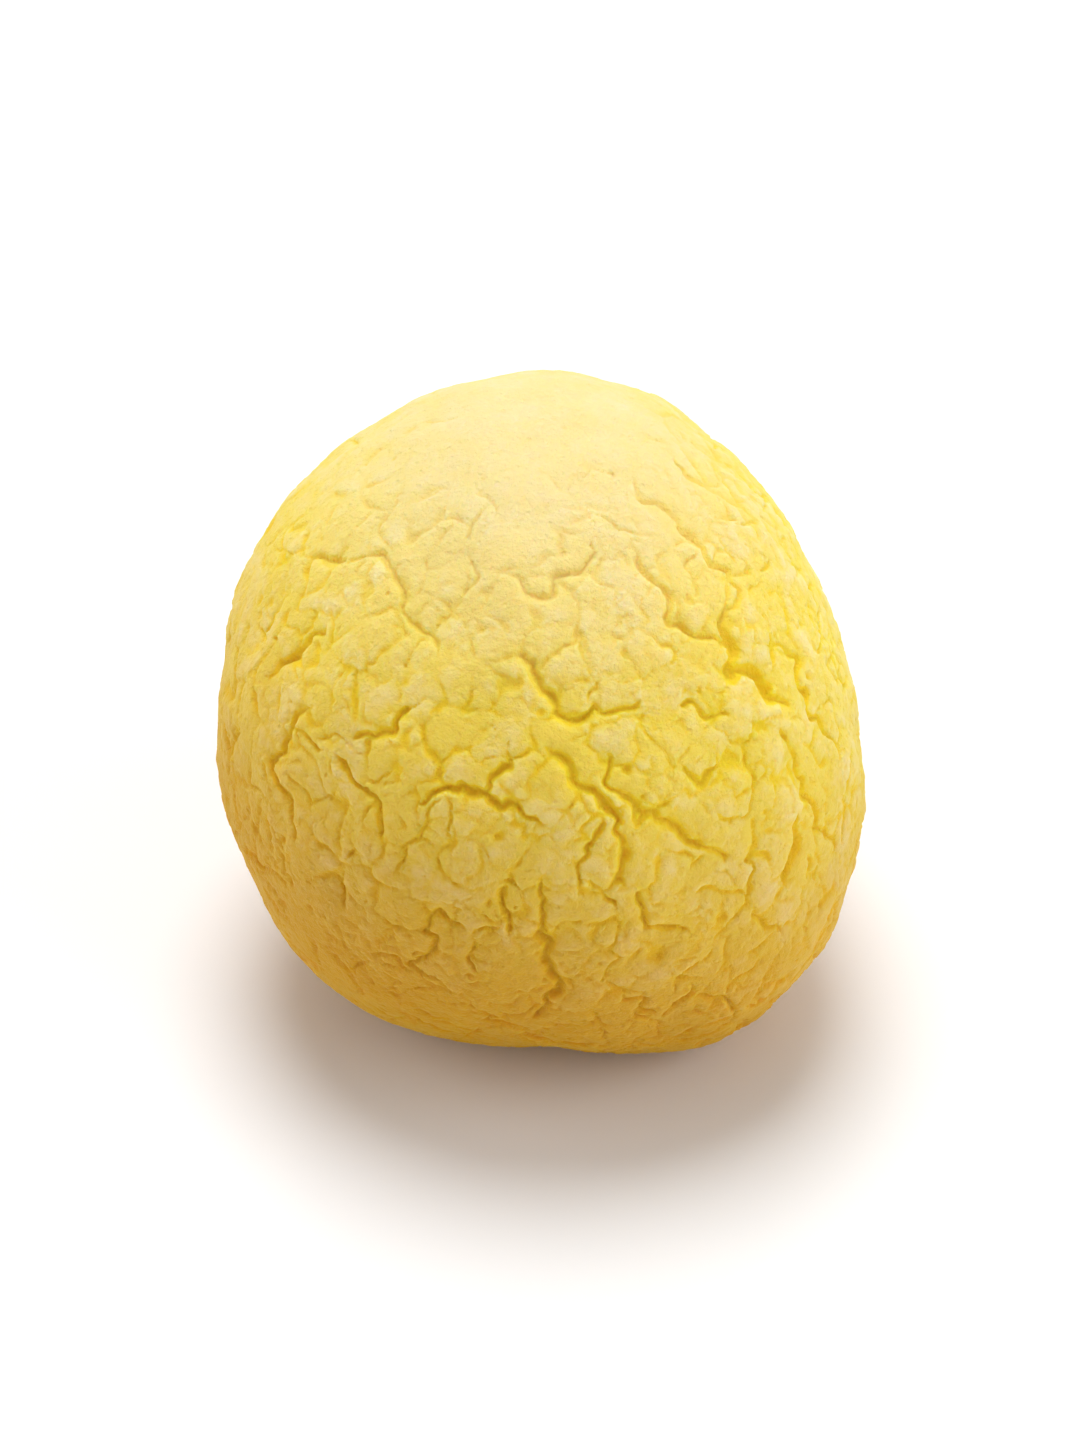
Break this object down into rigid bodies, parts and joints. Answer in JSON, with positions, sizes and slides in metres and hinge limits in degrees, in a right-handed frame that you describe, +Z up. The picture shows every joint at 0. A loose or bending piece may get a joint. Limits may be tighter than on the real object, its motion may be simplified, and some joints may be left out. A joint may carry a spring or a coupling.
{
  "type": "rajbhog",
  "caption": "Large round sweet of fresh curd cheese, tinted with saffron, with a fissured skin and a small flat spot to rest on.",
  "frame": {"origin": "on the flat spot, under the middle of the ball's box", "axes": "+Z up from the surface that the ball rests on, -Y towards the front, +X to the right seen from the front"},
  "size_m": [0.0552, 0.056, 0.0531],
  "materials": {
    "curd": "matte and slightly moist saffron-yellow curd, deeper yellow in the fissures"
  },
  "bodies": {
    "root": {"rajbhog": "curd"}
  },
  "joints": []
}
